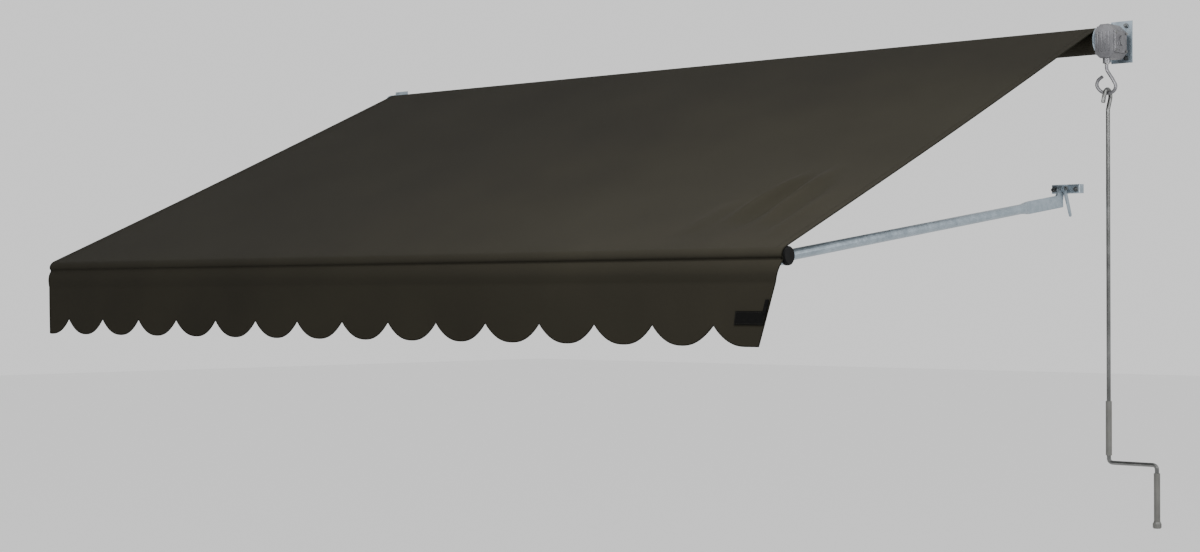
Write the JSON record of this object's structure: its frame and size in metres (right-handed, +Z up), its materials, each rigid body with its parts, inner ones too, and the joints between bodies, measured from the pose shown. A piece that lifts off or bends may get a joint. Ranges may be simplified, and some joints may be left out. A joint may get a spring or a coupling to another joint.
{
  "type": "canvas awning",
  "caption": "Crank-operated drop-arm canvas awning with roller, worm gearbox, tubular arms, front bar and scalloped valance.",
  "frame": {"origin": "wall face of the gear-side roller bracket, at the height of the roller axis", "axes": "+X along the awning's width towards the gear end, +Y into the wall, +Z up"},
  "size_m": [3.3125, 1.6367, 1.478],
  "materials": {
    "galvanised": "galvanised steel",
    "casting": "rough zinc-grey casting",
    "dark_steel": "blackened steel fasteners",
    "rod": "plated steel rod",
    "black_plastic": "moulded black plastic",
    "grip": "moulded grey plastic",
    "canvas": "woven charcoal canvas"
  },
  "bodies": {
    "wall_frame": {"arm_bolt_left_inner": "dark_steel", "arm_bolt_left_outer": "dark_steel", "arm_bolt_right_inner": "dark_steel", "arm_bolt_right_outer": "dark_steel", "arm_bracket_left": "galvanised", "arm_bracket_right": "galvanised", "gearbox_cover": "casting", "gearbox_housing": "casting", "gearbox_screw_lower_back": "rod", "gearbox_screw_lower_front": "rod", "gearbox_screw_upper_back": "rod", "gearbox_screw_upper_front": "rod", "idler_pin": "rod", "pivot_nut_left": "dark_steel", "pivot_nut_right": "dark_steel", "pivot_pin_left": "dark_steel", "pivot_pin_right": "dark_steel", "roller_bolt_left_lower": "dark_steel", "roller_bolt_left_upper": "dark_steel", "roller_bolt_right_lower": "dark_steel", "roller_bolt_right_upper": "dark_steel", "roller_bracket_left": "galvanised", "roller_bracket_right": "galvanised"},
    "arms": {"arm_right": "galvanised", "arm_left": "galvanised", "arm_end_right": "casting", "arm_end_left": "casting", "canopy": "canvas"},
    "bar": {"front_bar": "galvanised", "end_plug_left": "black_plastic", "end_plug_right": "black_plastic", "bar_lug_left": "casting", "bar_lug_right": "casting", "front_pin_left": "dark_steel", "front_pin_right": "dark_steel", "front_nut_left": "dark_steel", "front_nut_right": "dark_steel", "valance": "canvas"},
    "roller": {"roller_tube": "galvanised", "fabric_wraps": "canvas", "drive_plug": "black_plastic", "idler_plug": "black_plastic", "drive_shaft": "rod", "worm_wheel": "casting"},
    "crank": {"worm_shaft": "rod", "eye_loop": "casting", "crank_rod": "rod", "grip_cap": "grip"},
    "upper_grip": {"upper_grip": "grip"},
    "lower_grip": {"lower_grip": "grip"},
    "lever_right": {"clamp_lever_right": "galvanised"},
    "lever_left": {"clamp_lever_left": "galvanised"}
  },
  "joints": [
    {"name": "arm_swing", "type": "hinge", "parent": "wall_frame", "child": "arms", "pos_m": [0, -0.05, -0.428], "axis": [1, 0, 0], "range_deg": [-25, 45], "deforming": ["canopy"]},
    {"name": "bar_tilt", "type": "hinge", "parent": "arms", "child": "bar", "pos_m": [0, -1.57096, -0.66952], "axis": [1, 0, 0], "range_deg": [-45, 25]},
    {"name": "roller_turn", "type": "hinge", "parent": "wall_frame", "child": "roller", "pos_m": [0, -0.07, 0], "axis": [1, 0, 0], "range_deg": [-240, 432]},
    {"name": "crank_turn", "type": "hinge", "parent": "wall_frame", "child": "crank", "pos_m": [0, -0.0965, 0], "axis": [0, 0, 1], "range_deg": [-1800, 3240]},
    {"name": "upper_grip_turn", "type": "hinge", "parent": "crank", "child": "upper_grip", "pos_m": [0.003, -0.0945, -1.1], "axis": [0, 0, 1], "continuous": true},
    {"name": "lower_grip_turn", "type": "hinge", "parent": "crank", "child": "lower_grip", "pos_m": [0.154, -0.0945, -1.3], "axis": [0, 0, 1], "continuous": true},
    {"name": "lever_right_turn", "type": "hinge", "parent": "wall_frame", "child": "lever_right", "pos_m": [0, -0.05, -0.428], "axis": [1, 0, 0], "range_deg": [-110, 0]},
    {"name": "lever_left_turn", "type": "hinge", "parent": "wall_frame", "child": "lever_left", "pos_m": [0, -0.05, -0.428], "axis": [1, 0, 0], "range_deg": [-110, 0]}
  ],
  "couplings": [
    {"joint": "bar_tilt", "follows": "arm_swing", "ratio": -1},
    {"joint": "roller_turn", "follows": "arm_swing", "ratio": 9.6},
    {"joint": "crank_turn", "follows": "arm_swing", "ratio": 72}
  ]
}
